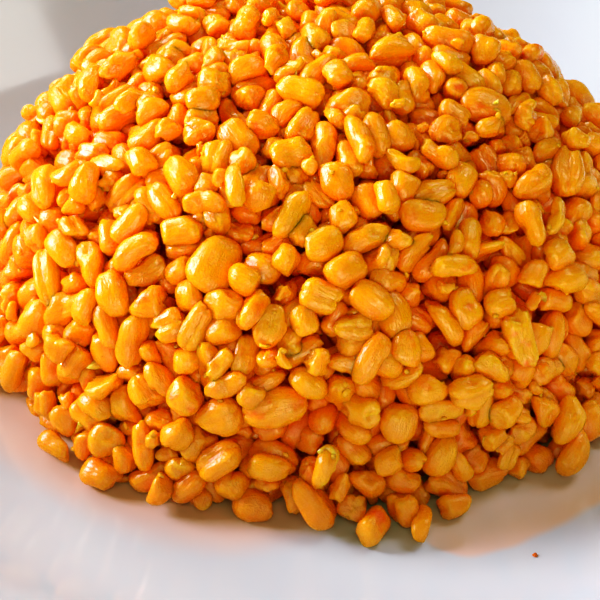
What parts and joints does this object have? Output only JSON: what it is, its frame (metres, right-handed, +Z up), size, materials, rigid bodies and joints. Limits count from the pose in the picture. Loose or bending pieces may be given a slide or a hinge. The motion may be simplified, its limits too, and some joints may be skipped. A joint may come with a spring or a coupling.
{
  "type": "bowl of bulgur pilaf",
  "caption": "Shallow round porcelain bowl on a foot ring, holding a moulded dome of cooked coarse bulgur grains.",
  "frame": {"origin": "centre of the foot ring's underside, where the bowl stands", "axes": "+Z up through the crown of the dome; -Y towards the eater; +X to the eater's right"},
  "size_m": [0.2158, 0.2158, 0.0535],
  "materials": {
    "porcelain": "plain white glossy glaze",
    "cooked_bulgur": "moist, slightly glossy cooked grain in orange oil, from pale yellow to red-orange"
  },
  "bodies": {
    "root": {"bowl": "porcelain", "pilaf_heap": "cooked_bulgur"}
  },
  "joints": []
}
